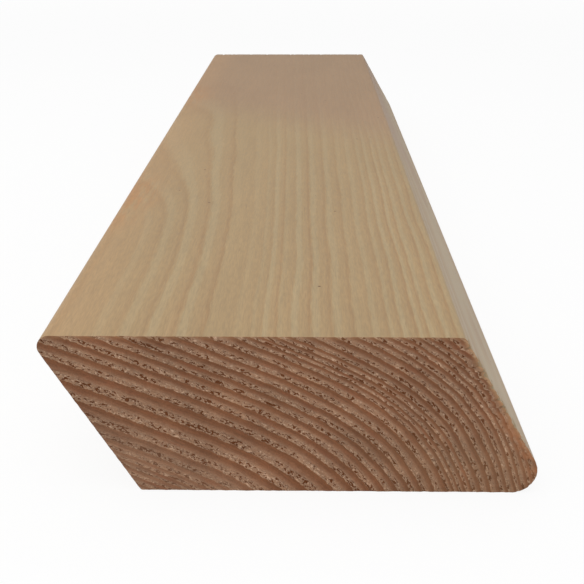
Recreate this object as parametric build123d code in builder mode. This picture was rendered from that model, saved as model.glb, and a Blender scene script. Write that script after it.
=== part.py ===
"""Timber plank with a rhombus section, planed on four sides and sawn square at both ends.

The section is a parallelogram: the top and bottom faces are level and equally wide, and both long
edges lean the same way. The two acute corners are rounded and the two obtuse ones are only eased.

The plank lies along Y on its bottom face. The origin is in the middle of its footprint, and +Z is up.
Lengths are in millimetres and angles in degrees.
"""

import os
from math import radians, tan

from build123d import *

# Sizes of the plank
plank_length = 300  # from one sawn end to the other
face_width = 68  # top and bottom face, each measured to its sharp corners
thickness = 28  # between the two faces
edge_slant = 30  # lean of both long edges, away from square to the faces

# Corners of the section
top_nose_radius = 2  # acute corner that leads the top face
bottom_nose_radius = 4  # acute corner that leads the bottom face
top_arris_radius = 1  # easing of the obtuse corner of the top face
bottom_arris_radius = 0.4  # easing of the obtuse corner of the bottom face

# How far the edges lean across the thickness, and what the rounded noses take off the width
edge_offset = thickness * tan(radians(edge_slant))
nose_angle = 90 - edge_slant
nose_trim_share = 1 / tan(radians(nose_angle / 2)) - 1
top_nose_trim = top_nose_radius * nose_trim_share
bottom_nose_trim = bottom_nose_radius * nose_trim_share
overall_width = face_width + edge_offset - top_nose_trim - bottom_nose_trim

# Sharp corners of the section, with its finished width centred on the origin
top_left = (-overall_width / 2 - top_nose_trim, thickness)
top_right = (top_left[0] + face_width, thickness)
bottom_left = (top_left[0] + edge_offset, 0)
bottom_right = (bottom_left[0] + face_width, 0)

with BuildPart() as plank:
    with BuildSketch(Plane.XZ) as section:
        with BuildLine():
            Polyline(bottom_left, bottom_right, top_right, top_left, close=True)
        make_face()
        fillet(section.vertices().sort_by(Axis.X)[1], radius=bottom_arris_radius)
        fillet(section.vertices().sort_by(Axis.X)[-2], radius=top_arris_radius)
        fillet(section.vertices().sort_by(Axis.X)[0], radius=top_nose_radius)
        fillet(section.vertices().sort_by(Axis.X)[-1], radius=bottom_nose_radius)
    extrude(amount=plank_length / 2, both=True)

plank.part.label = "plank"

os.makedirs("parts", exist_ok=True)
export_step(plank.part, "parts/plank.step")
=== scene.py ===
from bisect import bisect_right
from itertools import accumulate
from math import copysign, cos, exp, floor, log, radians, sin, tan

import bmesh
import bpy
from mathutils import Color, Matrix, Vector, noise


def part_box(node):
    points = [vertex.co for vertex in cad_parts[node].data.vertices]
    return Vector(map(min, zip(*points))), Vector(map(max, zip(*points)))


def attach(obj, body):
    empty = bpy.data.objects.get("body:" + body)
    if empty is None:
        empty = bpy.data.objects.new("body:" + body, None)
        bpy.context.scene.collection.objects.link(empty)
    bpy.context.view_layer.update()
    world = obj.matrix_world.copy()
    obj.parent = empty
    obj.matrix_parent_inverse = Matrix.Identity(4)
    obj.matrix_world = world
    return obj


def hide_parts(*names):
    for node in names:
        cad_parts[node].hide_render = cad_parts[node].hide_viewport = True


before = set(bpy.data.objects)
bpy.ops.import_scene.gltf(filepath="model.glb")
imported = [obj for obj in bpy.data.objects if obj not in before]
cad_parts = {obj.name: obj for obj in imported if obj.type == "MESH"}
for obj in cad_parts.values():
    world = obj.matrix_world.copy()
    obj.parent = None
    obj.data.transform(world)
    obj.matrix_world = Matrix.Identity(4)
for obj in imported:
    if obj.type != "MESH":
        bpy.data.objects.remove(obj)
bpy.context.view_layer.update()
low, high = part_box("plank")
mm = 0.001  # the plank is modelled in millimetres and scaled down at the end

plank = {
    "pieceName": "plank_timber",
    "length": (high.y - low.y) / mm,
    "overallWidth": (high.x - low.x) / mm,
    "thickness": (high.z - low.z) / mm,
    "edgeSlant": radians(30),  # lean of both long edges
    "topNoseRadius": 2.0,
    "bottomNoseRadius": 4.0,
    "topArrisRadius": 1.0,
    "bottomArrisRadius": 0.4,
    "noseCuts": 9,
    "arrisCuts": 4,
    "snap": 0.02,  # corner cuts closer than this to a grid point go through it
    "cellSize": 0.25,  # grid over the sawn ends
    "stations": 44,  # spans along the length
    "crowding": 1.25,  # power by which the stations gather towards the ends
    "endFacing": 0.9,  # a face that looks this much along the length is on a sawn end
    "sawnSlot": 0,  # places in the list of materials
    "planedSlot": 1,
}

# Growth rings, as lines around a pith that lies beyond the lower left of the section.
# They are nearly straight on the left and turn down steeply on the right. Lengths in millimetres.
rings = {
    "flatTilt": radians(23),  # of a line square to the rings, away from upright
    "steepTilt": radians(77),
    "steepOffset": 4.0,
    "bend": 7.0,  # how softly the flat side turns into the steep side
    "bow": 0.00028,
    "firstEdge": -7.2,  # where the innermost year begins
    "widths": (  # growth of each year, outwards
        1.1, 1.0, 1.1, 1.5, 2.0, 2.6, 2.6, 2.9, 2.2, 1.9, 2.0, 1.6, 1.7, 1.7, 1.8, 1.7,
        1.1, 0.7, 1.0, 0.9, 1.3, 1.5, 1.5, 1.1, 1.3, 0.9, 1.1, 0.8, 1.2, 1.1, 1.2, 1.0,
    ),
    "drift": 0.026,  # outward drift for each millimetre of length, strongest on the left edge
    "driftFrom": -110.0,  # where along the length it begins
    "driftEase": 60.0,
    "driftReach": 30.0,
    "wander": 0.36,  # slow waves along the length
    "wanderSpacing": 32.0,
    "ripple": 0.14,  # small unevenness across the section
    "rippleSpacing": 3.5,
    "knots": (  # just outside the left edge, pushing the rings aside
        {"at": (-45.0, -75.0, 24.0), "reach": (14.0, 30.0, 16.0), "push": 4.5, "warmth": 0.8},
        {"at": (-42.0, 52.0, 26.0), "reach": (11.0, 24.0, 14.0), "push": 1.6, "warmth": 0.45},
    ),
}
yearEdges = list(accumulate(rings["widths"], initial=rings["firstEdge"]))


def smoothShare(value, start, end):
    share = min(max((value - start) / (end - start), 0.0), 1.0)
    return share * share * (3 - 2 * share)


def ringDistance(co):
    # distance out from the pith, less a constant
    flat = sin(rings["flatTilt"]) * co.x + cos(rings["flatTilt"]) * co.z + rings["bow"] * co.x ** 2
    steep = sin(rings["steepTilt"]) * (co.x - rings["steepOffset"]) + cos(rings["steepTilt"]) * co.z
    distance = rings["bend"] * log(exp(flat / rings["bend"]) + exp(steep / rings["bend"]))
    drifted = max(co.y - rings["driftFrom"], 0.0)
    drifted *= smoothShare(drifted, 0, rings["driftEase"])
    fromLeft = (co.x + plank["overallWidth"] / 2) / rings["driftReach"]
    distance += rings["drift"] * drifted * exp(-fromLeft ** 2)
    fromNearEnd = co.y + plank["length"] / 2
    waves = noise.noise(co / rings["wanderSpacing"])
    distance += rings["wander"] * waves * smoothShare(fromNearEnd, 0, rings["wanderSpacing"])
    spacing = rings["rippleSpacing"]
    ripple = noise.noise(Vector((co.x / spacing, co.y / rings["wanderSpacing"], co.z / spacing)))
    distance += rings["ripple"] * ripple
    # a knot's push sets in within a short length, and dies away across the plank
    for knot in rings["knots"]:
        across, along, deep = ((co[i] - knot["at"][i]) / knot["reach"][i] for i in range(3))
        distance += knot["push"] * smoothShare(along, -1, 1) * exp(-across ** 2 - deep ** 2)
    return distance


def ringAge(distance):
    # whole years up to this distance, and the share of the next one
    year = min(max(bisect_right(yearEdges, distance) - 1, 0), len(rings["widths"]) - 1)
    return year + (distance - yearEdges[year]) / rings["widths"][year]


def sectionCorners():
    # sharp corners of the near end's section
    lean = plank["thickness"] * tan(plank["edgeSlant"])
    trimShare = 1 / tan((radians(90) - plank["edgeSlant"]) / 2) - 1
    topTrim = plank["topNoseRadius"] * trimShare
    bottomTrim = plank["bottomNoseRadius"] * trimShare
    faceWidth = plank["overallWidth"] - lean + topTrim + bottomTrim
    left = low.x / mm - topTrim
    nearEnd = -plank["length"] / 2
    return {
        "topLeft": Vector((left, nearEnd, plank["thickness"])),
        "topRight": Vector((left + faceWidth, nearEnd, plank["thickness"])),
        "bottomLeft": Vector((left + lean, nearEnd, 0)),
        "bottomRight": Vector((left + lean + faceWidth, nearEnd, 0)),
    }


corners = sectionCorners()
up = Vector((0, 0, 1))
right = Vector((cos(plank["edgeSlant"]), 0, sin(plank["edgeSlant"])))  # out of the right long edge


def cutCorner(bm, corner, firstNormal, lastNormal, radius, cuts):
    # planes around the rounding shave the corner down to it
    centre = corner - (firstNormal + lastNormal) * radius / (1 + firstNormal.dot(lastNormal))
    halfStep = firstNormal.angle(lastNormal) / (cuts + 1) / 2
    for step in range(1, cuts + 1):
        outward = firstNormal.slerp(lastNormal, step / (cuts + 1))
        bmesh.ops.bisect_plane(
            bm, geom=bm.verts[:] + bm.edges[:] + bm.faces[:], dist=plank["snap"],
            plane_co=centre + outward * radius * cos(halfStep), plane_no=outward, clear_outer=True,
        )


def cutSection(bm):
    # a grid one unit wide and high, which the matrix leans and sizes to the section
    across = corners["bottomRight"] - corners["bottomLeft"]
    upwards = corners["topLeft"] - corners["bottomLeft"]
    middle = (corners["bottomLeft"] + corners["topRight"]) / 2
    lean = Matrix((across, upwards, (0, -1, 0))).transposed().to_4x4()
    bmesh.ops.create_grid(
        bm, x_segments=round(across.length / plank["cellSize"]),
        y_segments=round(plank["thickness"] / plank["cellSize"]),
        size=1 / 2, matrix=Matrix.Translation(middle) @ lean,
    )
    cutCorner(bm, corners["topLeft"], -right, up, plank["topNoseRadius"], plank["noseCuts"])
    cutCorner(bm, corners["bottomRight"], -up, right, plank["bottomNoseRadius"], plank["noseCuts"])
    cutCorner(bm, corners["topRight"], up, right, plank["topArrisRadius"], plank["arrisCuts"])
    cutCorner(bm, corners["bottomLeft"], -right, -up, plank["bottomArrisRadius"], plank["arrisCuts"])


def drawOut(bm):
    # the section becomes both ends, with the long faces between them
    length = plank["length"]
    farEnd = bmesh.ops.extrude_face_region(bm, geom=bm.faces[:], use_keep_orig=True)["geom"]
    farVerts = [item for item in farEnd if isinstance(item, bmesh.types.BMVert)]
    bmesh.ops.translate(bm, verts=farVerts, vec=(0, length, 0))
    longEdges = [edge for edge in bm.edges if abs(edge.verts[0].co.y - edge.verts[1].co.y) > length / 2]
    bmesh.ops.subdivide_edges(bm, edges=longEdges, cuts=plank["stations"] - 1)
    for vert in bm.verts:
        fromMiddle = min(max(vert.co.y / (length / 2), -1.0), 1.0)
        fromEnd = (1 - abs(fromMiddle)) ** plank["crowding"]
        vert.co.y = copysign((1 - fromEnd) * length / 2, fromMiddle)
    bmesh.ops.recalc_face_normals(bm, faces=bm.faces[:])
    for face in bm.faces:
        face.smooth = True
        sawn = abs(face.normal.y) > plank["endFacing"]
        face.material_index = plank["sawnSlot"] if sawn else plank["planedSlot"]


def markRings(bm):
    age = bm.verts.layers.float.new("ringAge")
    distance = bm.verts.layers.float.new("ringDistance")
    for vert in bm.verts:
        vert[distance] = ringDistance(vert.co)
        vert[age] = ringAge(vert[distance])


# Bake map, in rows from the bottom up: the two ends, then the top, bottom, right and left faces
bakeMap = {
    "margin": 0.006,
    "endScale": 0.0081,  # share of the map for each millimetre
    "lengthScale": 0.00328,
    "acrossScale": 0.00245,
    "level": 0.7,  # a long face this level is the top or the bottom
}


def bakeRow(face):
    if face.material_index == plank["sawnSlot"]:
        return "nearEnd" if face.normal.y < 0 else "farEnd"
    if abs(face.normal.z) > bakeMap["level"]:
        return "top" if face.normal.z > 0 else "bottom"
    return "right" if face.normal.x > 0 else "left"


def layOutBakeMap(bm):
    uv = bm.loops.layers.uv.new("OFBake")
    margin = bakeMap["margin"]
    endHeight = plank["thickness"] * bakeMap["endScale"] + margin
    faceHeight = plank["overallWidth"] * bakeMap["acrossScale"] + margin
    edgeHeight = plank["thickness"] * bakeMap["acrossScale"] + margin
    heights = {
        "nearEnd": endHeight, "farEnd": endHeight, "top": faceHeight, "bottom": faceHeight,
        "right": edgeHeight, "left": edgeHeight,
    }
    rowStarts = dict(zip(heights, accumulate(heights.values(), initial=margin)))
    for face in bm.faces:
        row = bakeRow(face)
        for loop in face.loops:
            co = loop.vert.co + Vector((plank["overallWidth"], plank["length"], 0)) / 2
            if row in ("nearEnd", "farEnd"):
                place = Vector((co.x, co.z)) * bakeMap["endScale"]
            else:
                across = co.x if row in ("top", "bottom") else co.z
                place = Vector((co.y * bakeMap["lengthScale"], across * bakeMap["acrossScale"]))
            loop[uv].uv = place + Vector((margin, rowStarts[row]))


# Relief of the sawn ends: the soft early wood of a year is torn lower than its hard late wood
relief = {
    "softStart": (0.03, 0.11),  # shares of a year between which the soft wood sets in
    "softEnd": (0.40, 0.66),  # and between which it turns hard
    "softSink": 0.04,
    "pitDepth": 0.13,
    "pitSpacing": (0.42, 0.75),  # across and along the rings
    "pitFrom": (0.52, 0.75),
    "fuzz": 0.02,
    "fuzzSpacing": 0.3,
    "calmRim": 0.3,  # share of the relief that is left on the rim
    "rimSink": 0.14,
    "rimSpacing": 1.6,
    "rightTear": {"width": 0.5, "depth": 0.6, "spacing": 1.5, "from": (-0.1, 0.45), "pale": 1.0},
    "topTear": {"width": 0.14, "depth": 0.2, "spacing": 1.5, "from": (0.1, 0.6), "pale": 0.3},
    "frayFall": 0.55,  # how fast the finer layers of a fray weaken
    "frayStep": 2.3,  # how much finer each layer is
    "frayLayers": 4,
    "tearReach": 0.8,  # how far from the edge splinters show
    "tearSpread": 4.0,  # how far from it the end closes up
    "noseClear": 13.0,  # height above the rounded corner over which the tears set in
}


def fray(co, spacing):
    # uneven at several scales at once
    return noise.fractal(co / spacing, relief["frayFall"], relief["frayStep"], relief["frayLayers"])


def tearEdges(vert, splintered):
    # the saw tore the right edge and the top edge back, and left pale splinters on them
    place = vert.co.copy()
    aboveNose = smoothShare(place.z - plank["bottomNoseRadius"], 0, relief["noseClear"])
    sink = 0.0
    tears = ((right, place.z, relief["rightTear"]), (up, place.x, relief["topTear"]))
    for outward, along, tear in tears:
        fromEdge = outward.dot(corners["topRight"] - place)
        chip = smoothShare(fray(Vector((along, place.y, 0)), tear["spacing"]), *tear["from"])
        splinters = aboveNose * (1 - smoothShare(fromEdge, 0, relief["tearReach"]))
        closing = aboveNose * (1 - smoothShare(fromEdge, 0, relief["tearSpread"]))
        vert[splintered] = max(vert[splintered], splinters * tear["pale"])
        sink += tear["depth"] * chip * splinters
        vert.co -= outward * tear["width"] * chip * closing
    return sink


def tearEnds(bm):
    age = bm.verts.layers.float["ringAge"]
    distance = bm.verts.layers.float["ringDistance"]
    torn = bm.verts.layers.float.new("torn")
    splintered = bm.verts.layers.float.new("splintered")
    sawn = [face for face in bm.faces if face.material_index == plank["sawnSlot"]]
    planed = [face for face in bm.faces if face.material_index == plank["planedSlot"]]
    endVerts = {vert for face in sawn for vert in face.verts}
    rim = {vert for face in planed for vert in face.verts} & endVerts
    acrossSpacing, alongSpacing = relief["pitSpacing"]
    for vert in endVerts:
        place = vert.co.copy()
        inward = copysign(1, -place.y)
        yearShare = vert[age] - floor(vert[age])
        soft = smoothShare(yearShare, *relief["softStart"]) - smoothShare(yearShare, *relief["softEnd"])
        onRing = Vector((vert[distance] / acrossSpacing, place.x / alongSpacing, place.z / alongSpacing))
        vert[torn] = (1 + noise.noise(onRing)) / 2
        pitted = smoothShare(vert[torn], *relief["pitFrom"])
        sink = soft * (relief["softSink"] + relief["pitDepth"] * pitted)
        sink += relief["fuzz"] * (1 + noise.noise(place / relief["fuzzSpacing"]))
        if vert in rim:
            sink *= relief["calmRim"]
            sink += relief["rimSink"] * smoothShare(fray(place, relief["rimSpacing"]), -1, 1)
        sink += tearEdges(vert, splintered)
        vert.co.y += inward * sink


def buildPlank(materials):
    bm = bmesh.new()
    cutSection(bm)
    drawOut(bm)
    markRings(bm)
    layOutBakeMap(bm)
    tearEnds(bm)
    for edge in bm.edges:
        edge.smooth = len({face.material_index for face in edge.link_faces}) == 1
    bmesh.ops.scale(bm, vec=(mm, mm, mm), verts=bm.verts[:])
    mesh = bpy.data.meshes.new(plank["pieceName"])
    bm.to_mesh(mesh)
    bm.free()
    for material in materials:
        mesh.materials.append(material)
    piece = bpy.data.objects.new(plank["pieceName"], mesh)
    bpy.context.scene.collection.objects.link(piece)
    mesh.calc_loop_triangles()
    print("plank built,", len(mesh.loop_triangles), "triangles")
    return piece


fullSpan = (0.0, 1.0)
noiseMiddle = 0.5  # soft noise lies evenly about this


def paint(red, green, blue):
    # a colour as it looks on a screen, 0 to 255
    return (*Color((red / 255, green / 255, blue / 255)).from_srgb_to_scene_linear(), 1.0)


def plugIn(tree, socket, value):
    if isinstance(value, bpy.types.NodeSocket):
        tree.links.new(value, socket)
    else:
        socket.default_value = value


def addNode(tree, kind, inputs, **settings):
    node = tree.nodes.new("ShaderNode" + kind)
    for name, value in settings.items():
        setattr(node, name, value)
    for name, value in inputs.items():
        plugIn(tree, node.inputs[name], value)
    return node


def calc(tree, operation, first, second=0.0, third=0.0):
    return addNode(tree, "Math", {0: first, 1: second, 2: third}, operation=operation).outputs[0]


def lengthOf(tree, vector):
    return addNode(tree, "VectorMath", {0: vector}, operation="LENGTH").outputs["Value"]


def fade(tree, value, start, end, lowest=0.0, highest=1.0):
    # eases from lowest to highest as the value goes from start to end
    inputs = {"Value": value, "From Min": start, "From Max": end, "To Min": lowest, "To Max": highest}
    return addNode(tree, "MapRange", inputs, interpolation_type="SMOOTHSTEP").outputs["Result"]


def overlap(tree, first, second):
    # a mask of what both masks share
    return calc(tree, "MULTIPLY", first, second)


def blend(tree, factor, first, second):
    return addNode(tree, "Mix", {0: factor, 6: first, 7: second}, data_type="RGBA").outputs[2]


def cover(tree, mask, share, colour, coat):
    # a coat over the colour, where the mask is 1, of which only a share covers
    return blend(tree, calc(tree, "MULTIPLY", mask, share), colour, coat)


def tone(tree, colour, value, span, levels):
    # the colour times a level, which eases from one to the other as the value crosses the span
    level = fade(tree, value, *span, *levels)
    return addNode(tree, "VectorMath", {0: colour, "Scale": level}, operation="SCALE").outputs[0]


def scaled(tree, vector, spacing):
    # the vector counted in steps of the spacing, in millimetres along each axis
    scale = tuple(1 / step for step in spacing)
    return addNode(tree, "Mapping", {"Vector": vector, "Scale": scale}).outputs[0]


def clouds(tree, vector, spacing, detail=2.0):
    # soft noise from 0 to 1
    inputs = {"Vector": scaled(tree, vector, spacing), "Scale": 1.0, "Detail": detail}
    return addNode(tree, "TexNoise", inputs).outputs[0]


def swing(tree, cloud, size):
    # soft noise moved to lie about zero
    return calc(tree, "MULTIPLY", calc(tree, "SUBTRACT", cloud, noiseMiddle), size)


def specks(tree, vector, spacing, size, kept):
    # round spots scattered in space, of which only a share is kept
    cells = addNode(tree, "TexVoronoi", {"Vector": scaled(tree, vector, spacing), "Scale": 1.0}).outputs
    chance = addNode(tree, "SeparateColor", {0: cells["Color"]}).outputs[0]
    spot = fade(tree, cells["Distance"], *size, 1.0, 0.0)
    return overlap(tree, spot, calc(tree, "LESS_THAN", chance, kept))


def yearLuck(tree, age, shift=0.0):
    # a chance value for each year
    year = calc(tree, "ADD", calc(tree, "FLOOR", age), shift)
    return addNode(tree, "TexWhiteNoise", {"W": year}, noise_dimensions="1D").outputs["Value"]


def attribute(tree, name):
    return addNode(tree, "Attribute", {}, attribute_name=name).outputs["Fac"]


def yearColours(tree, yearShare, stops):
    node = addNode(tree, "ValToRGB", {"Fac": yearShare})
    elements = node.color_ramp.elements
    while len(elements) < len(stops):
        elements.new(1.0)
    for element, (place, colour) in zip(elements, stops):
        element.position = place
        element.color = colour
    return node.outputs["Color"]


def startMaterial(name):
    material = bpy.data.materials.new(name)
    material.use_nodes = True
    tree = material.node_tree
    coordinates = addNode(tree, "TexCoord", {})
    inMillimetres = addNode(
        tree, "VectorMath", {0: coordinates.outputs["Object"], "Scale": 1 / mm}, operation="SCALE"
    )
    return material, tree, tree.nodes["Principled BSDF"], inMillimetres.outputs[0]


def finishMaterial(tree, shader, look, colour, roughness, height):
    bump = addNode(
        tree, "Bump", {"Height": height, "Strength": look["bumpStrength"], "Distance": look["bumpDepth"]}
    )
    plugIn(tree, shader.inputs["Base Color"], colour)
    plugIn(tree, shader.inputs["Roughness"], roughness)
    plugIn(tree, shader.inputs["Normal"], bump.outputs[0])
    shader.inputs["Specular IOR Level"].default_value = look["shine"]


sawnEnd = {
    "years": (  # colours over a year: last year's late wood, an abrupt pale start, then slowly darker
        (0.00, paint(127, 82, 53)), (0.05, paint(123, 78, 49)), (0.09, paint(170, 134, 106)),
        (0.15, paint(159, 122, 95)), (0.42, paint(158, 121, 95)), (0.56, paint(153, 115, 88)),
        (0.70, paint(139, 97, 70)), (0.84, paint(129, 84, 56)), (1.00, paint(127, 82, 53)),
    ),
    "raggedness": 0.22,  # of a year's edges
    "raggedSpacing": (0.7, 0.7, 0.7),
    "softStart": (0.05, 0.11),  # shares of a year, as for the relief
    "softEnd": (0.40, 0.58),
    "core": paint(164, 127, 100),  # the narrow inner years are plainer
    "coreFrom": (3.0, -3.0),
    "coreCover": 0.45,
    "corePits": (1.0, 0.85),  # share of the pits that is left, outside the core and in it
    "pitLayers": (  # spacing outwards, across and up, and share in the pits
        ((0.28, 0.50, 0.50), 1.0),  # short strokes along the rings
        ((0.24, 0.24, 0.24), 0.2),  # beads
        ((2.5, 3.5, 3.5), 0.4),  # where pits gather
    ),
    "tornShare": 0.5,  # share of the relief's own pits
    # dark torn fibres in the pits, with painted shade in their hollows
    "pitColourAndShade": paint(100, 50, 10),
    "pitFrom": (0.545, 0.58),
    "pitColourAndShadeCover": 0.95,
    "lipHighlightFrom": (0.48, 0.54),  # painted highlight, pale on the lips around the pits
    # pale flecks of torn fibre, and the painted highlights on the lips around the pits
    "fleckAndHighlight": paint(231, 197, 168),
    "fleckSpacing": (0.36, 0.55, 0.55),
    "fleckFrom": (0.54, 0.66),
    "fleckAndHighlightCover": 0.5,
    "ruddy": paint(138, 84, 56),  # stretches of late wood
    "ruddyFrom": (0.52, 0.72),
    "ruddySpacing": (1.4, 6.0, 6.0),
    "ruddyCover": 0.42,
    "streakSpacing": (0.3, 3.0, 3.0),  # fine lines along the rings
    "streakFrom": (0.3, 0.7),
    "streakTone": (0.90, 1.12),
    "yearTone": (0.93, 1.06),
    "toneSpacing": (9.0, 9.0, 9.0),
    "toneFrom": (0.3, 0.7),
    "tone": (0.90, 1.09),
    "cellSpacing": (0.22, 0.22, 0.22),
    "cellFrom": (0.2, 0.8),
    "cellTone": (0.84, 1.14),
    "cellBump": 0.35,
    "fleckBump": 0.4,
    "footLightFrom": (10.0, 1.5),  # painted bounce light, paler towards the bottom face
    "footLightTone": (1.0, 1.085),
    "leftShadeFrom": (16.0, 2.0),  # painted shade, darker beside the left edge
    "leftShadeTone": (1.0, 0.89),
    "corner": paint(160, 128, 95),  # fainter rings in the lower right
    "cornerFrom": (32.0, 8.0),
    "cornerBelow": (17.0, 4.0),
    "cornerCover": 0.2,
    "rim": paint(182, 120, 80),  # warmer beside the lower part of the right edge
    "rimFrom": (3.0, 0.3),
    "rimBelow": (19.0, 12.0),
    "rimSpacing": (2.5, 2.5, 2.5),
    "rimPatches": (0.35, 0.6),
    "rimCover": 0.6,
    "splinter": paint(196, 156, 116),
    "splinterCover": 0.7,
    "otherEndShift": 37.0,  # gives the far end pits of its own
    "roughness": (0.75, 0.92),
    "shine": 0.25,
    "bumpStrength": 0.6,
    "bumpDepth": 0.2 * mm,
}


def placeOnRings(tree, axes, distance, look):
    # counted outwards from the pith, across and up, with the two ends set apart
    side = calc(tree, "MULTIPLY", calc(tree, "SIGN", axes["Y"]), look["otherEndShift"])
    outward = calc(tree, "ADD", distance, side)
    return addNode(tree, "CombineXYZ", {"X": outward, "Y": axes["X"], "Z": axes["Z"]}).outputs[0]


def tornFibres(tree, onRing, soft, look):
    # pits and pale flecks follow the rings, where soft fibres were torn out; the pits' colour adds
    # painted shade to their hollows, and the pale lips around them are painted highlights
    torn = calc(tree, "ADD", noiseMiddle, swing(tree, attribute(tree, "torn"), look["tornShare"]))
    for spacing, share in look["pitLayers"]:
        torn = calc(tree, "ADD", torn, swing(tree, clouds(tree, onRing, spacing), share))
    pits = fade(tree, torn, *look["pitFrom"])
    flecksAndLipHighlights = fade(tree, clouds(tree, onRing, look["fleckSpacing"]), *look["fleckFrom"])
    flecksAndLipHighlights = calc(tree, "MAXIMUM", flecksAndLipHighlights, fade(tree, torn, *look["lipHighlightFrom"]))
    return overlap(tree, pits, soft), overlap(tree, flecksAndLipHighlights, soft)


def tintAndPaintedLightByPlace(tree, colour, place, axes, look):
    # painted bounce light makes the end paler towards the foot and painted shade makes it darker beside
    # the left edge; the lower right corner and the right edge each have a tint of their own
    across = addNode(tree, "VectorMath", {0: place, 1: right}, operation="DOT_PRODUCT").outputs["Value"]
    fromLeft = calc(tree, "SUBTRACT", across, right.dot(corners["topLeft"]))
    fromRight = calc(tree, "SUBTRACT", right.dot(corners["topRight"]), across)
    # painted bounce light towards the foot, and painted shade beside the left edge
    colour = tone(tree, colour, axes["Z"], look["footLightFrom"], look["footLightTone"])
    colour = tone(tree, colour, fromLeft, look["leftShadeFrom"], look["leftShadeTone"])
    corner = fade(tree, fromRight, *look["cornerFrom"])
    corner = overlap(tree, corner, fade(tree, axes["Z"], *look["cornerBelow"]))
    colour = cover(tree, corner, look["cornerCover"], colour, look["corner"])
    rim = fade(tree, clouds(tree, place, look["rimSpacing"]), *look["rimPatches"])
    rim = overlap(tree, rim, fade(tree, fromRight, *look["rimFrom"]))
    rim = overlap(tree, rim, fade(tree, axes["Z"], *look["rimBelow"]))
    return cover(tree, rim, look["rimCover"], colour, look["rim"])


def sawnEndMaterial():
    look = sawnEnd
    material, tree, shader, place = startMaterial("sawn_end_grain")
    axes = addNode(tree, "SeparateXYZ", {0: place}).outputs
    distance = attribute(tree, "ringDistance")
    onRing = placeOnRings(tree, axes, distance, look)
    ragged = swing(tree, clouds(tree, place, look["raggedSpacing"]), look["raggedness"])
    age = calc(tree, "ADD", attribute(tree, "ringAge"), ragged)
    yearShare = calc(tree, "FRACT", age)
    colour = yearColours(tree, yearShare, look["years"])
    core = fade(tree, distance, *look["coreFrom"])
    colour = cover(tree, core, look["coreCover"], colour, look["core"])
    soft = fade(tree, yearShare, *look["softStart"])
    soft = calc(tree, "SUBTRACT", soft, fade(tree, yearShare, *look["softEnd"]))
    soft = overlap(tree, soft, fade(tree, core, *fullSpan, *look["corePits"]))
    ruddy = fade(tree, clouds(tree, onRing, look["ruddySpacing"]), *look["ruddyFrom"])
    ruddy = overlap(tree, ruddy, calc(tree, "SUBTRACT", 1.0, soft))
    colour = cover(tree, ruddy, look["ruddyCover"], colour, look["ruddy"])
    streaks = clouds(tree, onRing, look["streakSpacing"])
    colour = tone(tree, colour, streaks, look["streakFrom"], look["streakTone"])
    pits, flecksAndLipHighlights = tornFibres(tree, onRing, soft, look)
    # pale flecks, with painted highlights on the lips around the pits
    colour = cover(tree, flecksAndLipHighlights, look["fleckAndHighlightCover"], colour, look["fleckAndHighlight"])
    # dark pits, with painted shade in their hollows
    colour = cover(tree, pits, look["pitColourAndShadeCover"], colour, look["pitColourAndShade"])
    # tone from year to year, from place to place and from cell to cell
    colour = tone(tree, colour, yearLuck(tree, age), fullSpan, look["yearTone"])
    colour = tone(tree, colour, clouds(tree, place, look["toneSpacing"]), look["toneFrom"], look["tone"])
    cells = clouds(tree, place, look["cellSpacing"])
    colour = tone(tree, colour, cells, look["cellFrom"], look["cellTone"])
    colour = tintAndPaintedLightByPlace(tree, colour, place, axes, look)
    colour = cover(tree, attribute(tree, "splintered"), look["splinterCover"], colour, look["splinter"])
    roughness = fade(tree, soft, *fullSpan, *look["roughness"])
    height = calc(tree, "SUBTRACT", calc(tree, "MULTIPLY", cells, look["cellBump"]), pits)
    height = calc(tree, "ADD", height, calc(tree, "MULTIPLY", flecksAndLipHighlights, look["fleckBump"]))
    finishMaterial(tree, shader, look, colour, roughness, height)
    return material


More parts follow.
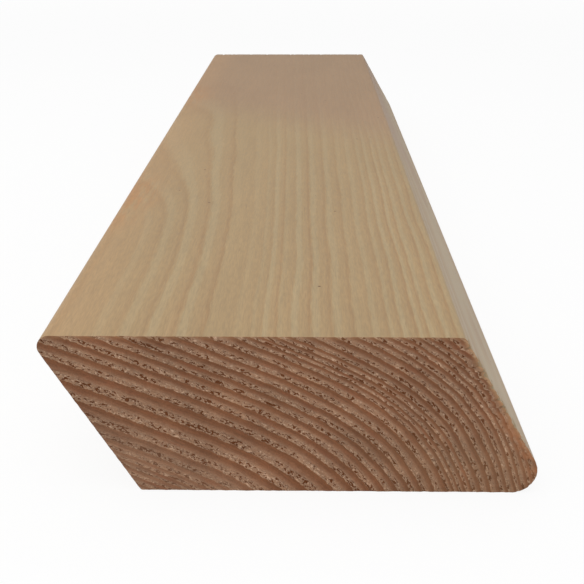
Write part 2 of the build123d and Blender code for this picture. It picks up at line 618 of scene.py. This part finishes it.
planedFace = {
    "years": (  # as for the sawn end, but with less between early and late wood
        (0.00, paint(173, 143, 103)), (0.04, paint(173, 144, 104)), (0.11, paint(178, 155, 117)),
        (0.34, paint(178, 154, 116)), (0.47, paint(174, 146, 106)), (0.75, paint(174, 144, 104)),
        (0.94, paint(166, 133, 93)), (1.00, paint(173, 143, 103)),
    ),
    "feather": 0.35,  # of a year's edges
    "featherSpacing": (0.4, 5.0, 0.4),
    "grainDetail": 4.0,  # layers of noise in the feathering and the fibres
    "plain": paint(175, 147, 107),
    "plainLuck": (0.0, 0.85),  # how plain a year may be
    "plainShift": 2287.0,  # which years are
    "yearTone": (0.98, 1.015),
    "toneShift": 100.0,  # so that tone and plainness differ
    "sweep": 0.8,  # how much sooner the right side changes along the length than the left
    "upperFrom": (8.0, 26.0),  # height over which these changes set in
    "plainFrom": (-90.0, 60.0),  # where the grain gets fainter
    "plainLeft": (-10.0, -34.0),  # and across the top, where it is faint all along
    "plainLeftShare": (0.0, 0.75),
    "plainCover": 0.6,
    "far": paint(166, 132, 104),
    "farFrom": (-20.0, 36.0),
    "farCover": 0.65,
    "noseHighlight": paint(193, 151, 108),  # painted highlight, brighter along the left edge of the top
    "noseHighlightFrom": (-25.0, -39.5),
    "noseHighlightCover": 0.36,
    "knot": paint(186, 134, 86),
    "knotFrom": (1.2, 0.4),  # in reaches of the knot
    "knotStreaks": (1.2, 10.0, 3.0),
    "knotStreaksFrom": (0.35, 0.6),
    "fibreSpacing": (0.22, 2.2, 0.22),
    "fibreFrom": (0.25, 0.75),
    "fibreTone": (0.90, 1.10),
    "streakSpacing": (0.5, 14.0, 0.5),
    "streakFrom": (0.3, 0.7),
    "streakTone": (0.97, 1.03),
    "toneSpacing": (12.0, 40.0, 12.0),
    "toneFrom": (0.3, 0.7),
    "tone": (0.975, 1.025),
    "speck": paint(118, 86, 58),
    "speckSpacing": (4.0, 4.0, 4.0),
    "speckSize": (0.05, 0.085),
    "speckKept": 0.10,
    "dashSpacing": (1.6, 16.0, 1.6),
    "dashSize": (0.06, 0.12),
    "dashKept": 0.30,
    "dashCover": 0.15,
    "roughFrom": (0.2, 0.8),
    "roughness": (0.44, 0.56),
    "shine": 0.5,
    "bumpStrength": 0.25,
    "bumpDepth": 0.03 * mm,
}


def changeAlong(tree, colour, axes, look):
    # the grain gets fainter and the colour pinker and darker towards the far end, and a painted highlight
    # brightens the left edge of the top
    along = calc(tree, "MULTIPLY_ADD", axes["X"], look["sweep"], axes["Y"])
    upper = fade(tree, axes["Z"], *look["upperFrom"])
    plain = fade(tree, axes["X"], *look["plainLeft"], *look["plainLeftShare"])
    plain = calc(tree, "MAXIMUM", plain, fade(tree, along, *look["plainFrom"]))
    colour = cover(tree, overlap(tree, upper, plain), look["plainCover"], colour, look["plain"])
    far = overlap(tree, upper, fade(tree, along, *look["farFrom"]))
    colour = cover(tree, far, look["farCover"], colour, look["far"])
    # painted highlight along the left edge of the top
    noseHighlight = overlap(tree, upper, fade(tree, axes["X"], *look["noseHighlightFrom"]))
    return cover(tree, noseHighlight, look["noseHighlightCover"], colour, look["noseHighlight"])


def warmKnots(tree, colour, place, look):
    # the wood is warmer in streaks around each knot
    streaks = fade(tree, clouds(tree, place, look["knotStreaks"]), *look["knotStreaksFrom"])
    for knot in rings["knots"]:
        fromKnot = addNode(tree, "VectorMath", {0: place, 1: knot["at"]}, operation="SUBTRACT").outputs[0]
        reaches = lengthOf(tree, scaled(tree, fromKnot, knot["reach"]))
        warm = overlap(tree, streaks, fade(tree, reaches, *look["knotFrom"]))
        colour = cover(tree, warm, knot["warmth"], colour, look["knot"])
    return colour


def planedFaceMaterial():
    look = planedFace
    material, tree, shader, place = startMaterial("planed_face_grain")
    axes = addNode(tree, "SeparateXYZ", {0: place}).outputs
    feather = clouds(tree, place, look["featherSpacing"], look["grainDetail"])
    age = calc(tree, "ADD", attribute(tree, "ringAge"), swing(tree, feather, look["feather"]))
    colour = yearColours(tree, calc(tree, "FRACT", age), look["years"])
    plainYear = fade(tree, yearLuck(tree, age, look["plainShift"]), *fullSpan, *look["plainLuck"])
    colour = blend(tree, plainYear, colour, look["plain"])
    colour = tone(tree, colour, yearLuck(tree, age, look["toneShift"]), fullSpan, look["yearTone"])
    colour = changeAlong(tree, colour, axes, look)
    colour = warmKnots(tree, colour, place, look)
    fibres = clouds(tree, place, look["fibreSpacing"], look["grainDetail"])
    colour = tone(tree, colour, fibres, look["fibreFrom"], look["fibreTone"])
    streaks = clouds(tree, place, look["streakSpacing"])
    colour = tone(tree, colour, streaks, look["streakFrom"], look["streakTone"])
    colour = tone(tree, colour, clouds(tree, place, look["toneSpacing"]), look["toneFrom"], look["tone"])
    dashes = specks(tree, place, look["dashSpacing"], look["dashSize"], look["dashKept"])
    colour = cover(tree, dashes, look["dashCover"], colour, look["speck"])
    spots = specks(tree, place, look["speckSpacing"], look["speckSize"], look["speckKept"])
    colour = blend(tree, spots, colour, look["speck"])
    roughness = fade(tree, fibres, *look["roughFrom"], *look["roughness"])
    height = calc(tree, "SUBTRACT", fibres, dashes)
    finishMaterial(tree, shader, look, colour, roughness, height)
    return material


camera = {
    "lens": 58.61,  # on a sensor 36 mm wide
    "location": (2.151 * mm, -283.148 * mm, 89.708 * mm),
    "pitch": radians(22.14),  # below level
    "heading": radians(0.96),  # turned left of the plank's length
    "roll": radians(-0.15),
    "nearest": 10 * mm,
}


def placeCamera():
    data = bpy.data.cameras.new("camera")
    data.lens = camera["lens"]
    data.clip_start = camera["nearest"]
    placed = bpy.data.objects.new("camera", data)
    heading = Matrix.Rotation(camera["heading"], 4, "Z")
    tilt = Matrix.Rotation(radians(90) - camera["pitch"], 4, "X")
    roll = Matrix.Rotation(camera["roll"], 4, "Z")
    placed.matrix_world = Matrix.Translation(camera["location"]) @ heading @ tilt @ roll
    bpy.context.scene.collection.objects.link(placed)
    bpy.context.scene.camera = placed


studio = {
    "floorSize": 6.0,
    "floorDrop": -0.05 * mm,  # just clear of the plank's bottom face
    "floorColour": (0.97, 0.97, 0.97, 1.0),
    "floorRoughness": 0.9,
    "floorGlow": (0.9, 1.0),  # share of plain white that the camera sees, at the plank and far from it
    "floorFade": (0.3, 1.2),
    "white": (1.0, 1.0, 1.0, 1.0),
    "whiteStrength": 1.0,  # of the floor's glow, and of the world where the camera sees it
    "worldStrength": 0.5,  # of the world as a light
    "lampSize": 0.8,
    "lampPower": 3.15,
    "lampAt": (-0.18, -0.20, 0.65),
}


def floorMaterial():
    material = bpy.data.materials.new("floor_white")
    material.use_nodes = True
    tree = material.node_tree
    shader = tree.nodes["Principled BSDF"]
    shader.inputs["Base Color"].default_value = studio["floorColour"]
    shader.inputs["Roughness"].default_value = studio["floorRoughness"]
    # seen directly or in a reflection the floor is nearly white, and it keeps a faint shadow
    rays = addNode(tree, "LightPath", {}).outputs
    seen = calc(tree, "MAXIMUM", rays["Is Camera Ray"], rays["Is Glossy Ray"])
    seen = calc(tree, "MAXIMUM", seen, rays["Is Transmission Ray"])
    fromPlank = lengthOf(tree, addNode(tree, "TexCoord", {}).outputs["Object"])
    glow = fade(tree, fromPlank, *studio["floorFade"], *studio["floorGlow"])
    white = addNode(tree, "Emission", {"Color": studio["white"], "Strength": studio["whiteStrength"]})
    inputs = {0: overlap(tree, seen, glow), 1: shader.outputs[0], 2: white.outputs[0]}
    mixed = addNode(tree, "MixShader", inputs)
    tree.links.new(mixed.outputs[0], tree.nodes["Material Output"].inputs["Surface"])
    return material


def layFloor():
    bm = bmesh.new()
    lowered = Matrix.Translation((0, 0, studio["floorDrop"]))
    bmesh.ops.create_grid(bm, x_segments=1, y_segments=1, size=studio["floorSize"] / 2, matrix=lowered)
    mesh = bpy.data.meshes.new("floor")
    bm.to_mesh(mesh)
    bm.free()
    mesh.materials.append(floorMaterial())
    piece = bpy.data.objects.new("floor", mesh)
    bpy.context.scene.collection.objects.link(piece)


def lightStudio():
    world = bpy.data.worlds.new("studio")
    world.use_nodes = True
    tree = world.node_tree
    background = tree.nodes["Background"]
    seen = addNode(tree, "LightPath", {}).outputs["Is Camera Ray"]
    strength = fade(tree, seen, *fullSpan, studio["worldStrength"], studio["whiteStrength"])
    plugIn(tree, background.inputs["Color"], studio["white"])
    plugIn(tree, background.inputs["Strength"], strength)
    bpy.context.scene.world = world
    lamp = bpy.data.lights.new("soft_lamp", "AREA")
    lamp.size = studio["lampSize"]
    lamp.energy = studio["lampPower"]
    placed = bpy.data.objects.new("soft_lamp", lamp)
    placed.location = studio["lampAt"]
    placed.rotation_euler = (-placed.location).to_track_quat("-Z", "Y").to_euler()
    bpy.context.scene.collection.objects.link(placed)


placeCamera()
print("camera placed")
materials = [sawnEndMaterial(), planedFaceMaterial()]
print("materials mixed")
timber = buildPlank(materials)
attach(timber, "root")
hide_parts("plank")
layFloor()
lightStudio()
print("studio lit")
bpy.context.scene.view_settings.view_transform = "Standard"
